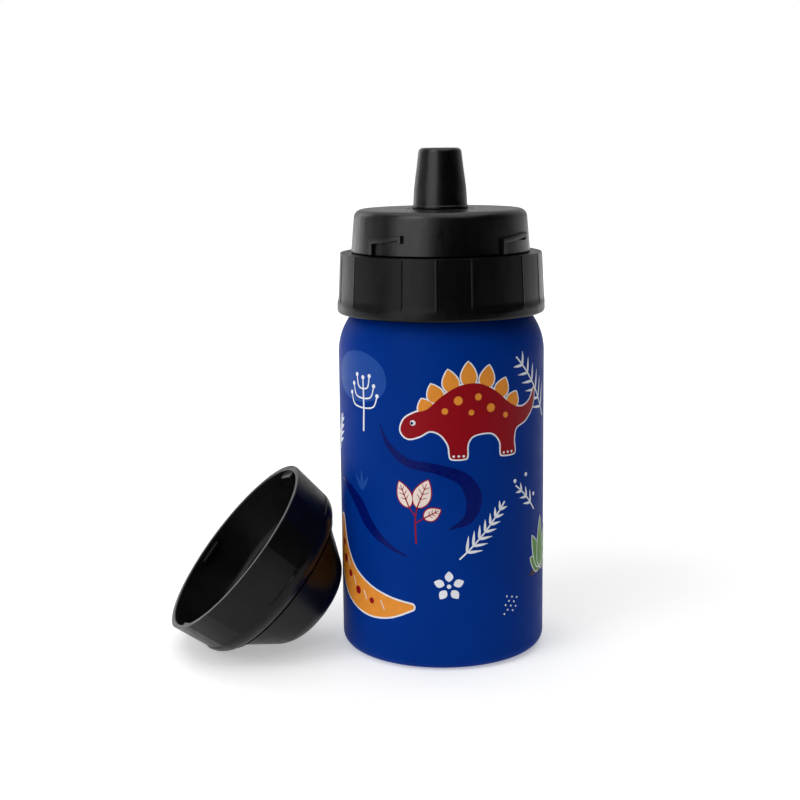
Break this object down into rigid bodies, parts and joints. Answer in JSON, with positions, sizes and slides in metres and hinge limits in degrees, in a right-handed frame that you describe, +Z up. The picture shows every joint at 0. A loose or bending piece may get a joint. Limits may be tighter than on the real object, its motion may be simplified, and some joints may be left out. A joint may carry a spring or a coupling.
{
  "type": "drinking bottle",
  "caption": "Child's insulated steel drinking bottle with a panelled screw collar, a bayonet lid with a soft spout, and a loose domed cap lying beside it",
  "frame": {"origin": "centre of the flat foot that the flask stands on", "axes": "+Z up the flask's axis, -Y towards the viewer, the cap lies on the -X side"},
  "size_m": [0.136, 0.0791, 0.178],
  "materials": {
    "blue_coat": "satin powder coat with printed pictures",
    "steel": "brushed",
    "solder": "dull",
    "getter_metal": "sintered, dull",
    "black_plastic": "satin with a fine moulded texture",
    "black_silicone": "smooth satin"
  },
  "bodies": {
    "bottle": {"outer_shell": "blue_coat", "inner_liner": "steel", "base_plate": "steel", "base_cover": "steel", "vacuum_seal": "solder", "getter": "getter_metal"},
    "lid": {"lid_body": "black_plastic", "mouth_gasket": "black_silicone", "spout": "black_silicone", "vent_valve": "black_silicone"},
    "collar": {"screw_collar": "black_plastic"},
    "cap": {"cap_shell": "black_plastic", "cap_pad": "black_silicone"}
  },
  "joints": [
    {"name": "lid_rise", "type": "slide", "parent": "bottle", "child": "lid", "axis": [0, 0, 1], "range_m": [0, 0.006]},
    {"name": "collar_turn", "type": "hinge", "parent": "lid", "child": "collar", "pos_m": [0, 0, 0.1315], "axis": [0, 0, 1], "range_deg": [0, 540]},
    {"name": "cap_slide", "type": "slide", "parent": "bottle", "child": "cap", "axis": [-1, 0, 0], "range_m": [0, 0.06]}
  ],
  "couplings": [
    {"joint": "lid_rise", "follows": "collar_turn", "m_per_rad": 0.00063662}
  ]
}
